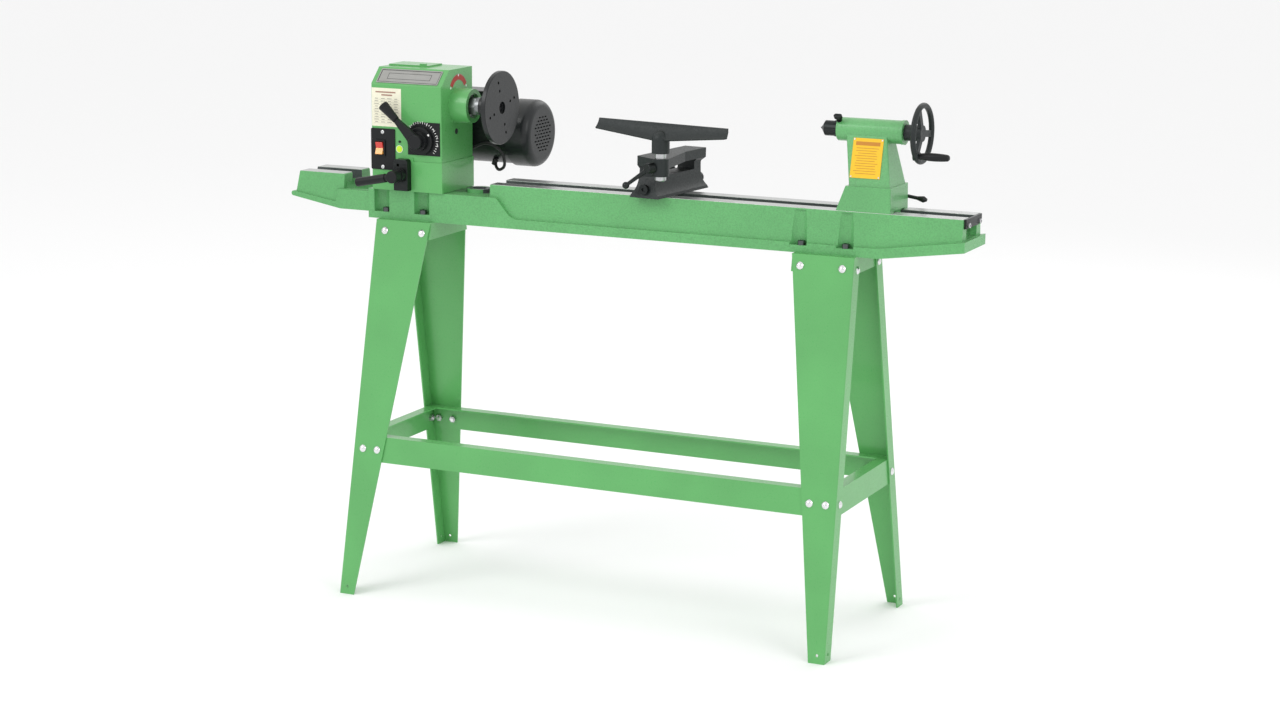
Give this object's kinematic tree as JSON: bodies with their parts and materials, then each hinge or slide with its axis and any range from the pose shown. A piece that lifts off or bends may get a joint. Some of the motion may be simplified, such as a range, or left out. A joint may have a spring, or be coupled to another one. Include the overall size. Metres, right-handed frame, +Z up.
{
  "type": "wood lathe",
  "caption": "Wood turning lathe on a folded-sheet stand, with a swivelling headstock, variable speed belt drive, sliding tool rest and a tailstock with a handwheel.",
  "frame": {"origin": "on the floor under the middle of the bed", "axes": "+X along the bed towards the tailstock, +Y away from the operator, +Z up"},
  "size_m": [1.5066, 0.454, 1.1005],
  "materials": {
    "green_casting": "hammered green paint",
    "green_sheet": "smooth green paint",
    "chrome_bolts": "bright",
    "steel": "machined",
    "black_metal": "satin black",
    "sheave_alloy": "satin",
    "black_plastic": "matte",
    "red_plastic": "gloss",
    "rubber": "matte",
    "panel_steel": "bright"
  },
  "bodies": {
    "stand_bed": {"leg_front_left": "green_sheet", "leg_front_right": "green_sheet", "leg_rear_left": "green_sheet", "leg_rear_right": "green_sheet", "top_plate_left": "green_sheet", "top_plate_right": "green_sheet", "stretcher_front": "green_sheet", "stretcher_rear": "green_sheet", "stretcher_left": "green_sheet", "stretcher_right": "green_sheet", "stand_bolts": "chrome_bolts", "stand_nuts": "steel", "bed_main": "green_casting", "bed_extension": "green_casting", "end_stop_plate": "black_metal", "bed_screws": "steel", "swivel_post": "steel"},
    "head": {"headstock_casting": "green_casting", "head_cover": "green_casting", "nameplate": "sheave_alloy", "switch_plate": "black_plastic", "panel_screws": "panel_steel", "speed_dial_plate": "sheave_alloy", "lock_bracket": "black_metal", "spindle_bearings": "steel", "belt_housing": "black_metal", "drive_belt": "rubber", "motor_body": "black_metal", "fan_cover": "black_metal", "capacitor_box": "black_plastic", "motor_lead": "rubber"},
    "spindle": {"spindle_shaft": "steel", "spindle_nut": "steel", "spindle_sheave_fixed": "sheave_alloy", "faceplate": "black_metal"},
    "sliding_sheave": {"spindle_sheave_sliding": "sheave_alloy"},
    "motor_rotor": {"motor_shaft": "steel", "motor_fan": "black_plastic", "motor_sheave": "sheave_alloy"},
    "speed_lever": {"speed_lever": "sheave_alloy", "speed_grip": "black_plastic", "shift_crank": "black_metal"},
    "power_rocker": {"power_rocker": "red_plastic"},
    "head_lock": {"head_lock_lever": "steel"},
    "rest_carriage": {"rest_clamp_shoe": "steel"},
    "rest_stud": {"rest_stud": "steel"},
    "banjo": {"banjo": "black_metal"},
    "rest_cam": {"rest_cam_rod": "steel"},
    "rest_post": {"rest_post": "steel"},
    "tool_rest": {"tool_rest": "black_metal"},
    "post_lock": {"post_lock_lever": "steel"},
    "tailstock": {"tailstock_casting": "green_casting", "tail_clamp_shoe": "steel"},
    "tail_clamp": {"tail_clamp_lever": "steel"},
    "handwheel": {"handwheel": "steel", "feed_screw": "steel"},
    "crank_handle": {"crank_handle": "black_plastic"},
    "quill": {"quill": "steel"},
    "live_centre": {"live_centre": "steel"},
    "quill_lock": {"quill_lock": "steel"}
  },
  "joints": [
    {"name": "head_swivel", "type": "hinge", "parent": "stand_bed", "child": "head", "pos_m": [-0.4655, 0, 0.8405], "axis": [0, 0, 1], "range_deg": [0, 180]},
    {"name": "spindle_spin", "type": "hinge", "parent": "head", "child": "spindle", "pos_m": [-0.45, 0, 1.0186], "axis": [1, 0, 0], "continuous": true},
    {"name": "sheave_shift", "type": "slide", "parent": "spindle", "child": "sliding_sheave", "axis": [1, 0, 0], "range_m": [-0.0035, 0.0042]},
    {"name": "motor_spin", "type": "hinge", "parent": "head", "child": "motor_rotor", "pos_m": [-0.4, 0.148, 0.95], "axis": [1, 0, 0], "continuous": true},
    {"name": "speed_select", "type": "hinge", "parent": "head", "child": "speed_lever", "pos_m": [-0.43, -0.068, 0.948], "axis": [0, 1, 0], "range_deg": [-35, 75]},
    {"name": "power_rock", "type": "hinge", "parent": "head", "child": "power_rocker", "pos_m": [-0.527, -0.07, 0.928], "axis": [1, 0, 0], "range_deg": [0, 8]},
    {"name": "head_lock_turn", "type": "hinge", "parent": "head", "child": "head_lock", "pos_m": [-0.471, -0.068, 0.876], "axis": [0, 1, 0], "range_deg": [0, 50]},
    {"name": "rest_along_bed", "type": "slide", "parent": "stand_bed", "child": "rest_carriage", "axis": [1, 0, 0], "range_m": [-0.235, 0.28]},
    {"name": "rest_turn", "type": "hinge", "parent": "rest_carriage", "child": "rest_stud", "pos_m": [0.095, 0, 0.83], "axis": [0, 0, 1], "range_deg": [-54, 60]},
    {"name": "rest_across_bed", "type": "slide", "parent": "rest_stud", "child": "banjo", "axis": [0.1045, 0.9945, 0], "range_m": [-0.075, 0.045]},
    {"name": "rest_cam_turn", "type": "hinge", "parent": "banjo", "child": "rest_cam", "pos_m": [0.095, 0, 0.883], "axis": [0.1045, 0.9945, 0], "range_deg": [-30, 44]},
    {"name": "rest_height", "type": "slide", "parent": "banjo", "child": "rest_post", "axis": [0, 0, 1], "range_m": [-0.008, 0.025]},
    {"name": "rest_swing", "type": "hinge", "parent": "rest_post", "child": "tool_rest", "pos_m": [0.12226, -0.08029, 0.958], "axis": [0, 0, 1], "range_deg": [-90, 90]},
    {"name": "post_lock_turn", "type": "hinge", "parent": "banjo", "child": "post_lock", "pos_m": [0.10876, -0.10367, 0.93], "axis": [-0.5, -0.866, 0], "range_deg": [-40, 20]},
    {"name": "tail_along_bed", "type": "slide", "parent": "stand_bed", "child": "tailstock", "axis": [1, 0, 0], "range_m": [-0.33, 0.1]},
    {"name": "tail_clamp_turn", "type": "hinge", "parent": "tailstock", "child": "tail_clamp", "pos_m": [0.55, 0.061, 0.892], "axis": [0, 1, 0], "range_deg": [-80, 0]},
    {"name": "handwheel_turn", "type": "hinge", "parent": "tailstock", "child": "handwheel", "pos_m": [0.64, 0, 1.0186], "axis": [-1, 0, 0], "range_deg": [0, 3960]},
    {"name": "crank_handle_spin", "type": "hinge", "parent": "handwheel", "child": "crank_handle", "pos_m": [0.66, -0.02939, 0.97815], "axis": [1, 0, 0], "continuous": true},
    {"name": "quill_feed", "type": "slide", "parent": "tailstock", "child": "quill", "axis": [-1, 0, 0], "range_m": [0, 0.0552]},
    {"name": "live_centre_spin", "type": "hinge", "parent": "quill", "child": "live_centre", "pos_m": [0.48, 0, 1.0186], "axis": [1, 0, 0], "continuous": true},
    {"name": "quill_lock_turn", "type": "hinge", "parent": "tailstock", "child": "quill_lock", "pos_m": [0.476, 0, 1.0186], "axis": [0, -0.7071, 0.7071], "range_deg": [-90, 90]}
  ],
  "couplings": [
    {"joint": "motor_spin", "follows": "spindle_spin", "ratio": 1.4062},
    {"joint": "sheave_shift", "follows": "speed_select", "m_per_rad": 0.003},
    {"joint": "quill_feed", "follows": "handwheel_turn", "m_per_rad": 0.000796}
  ]
}
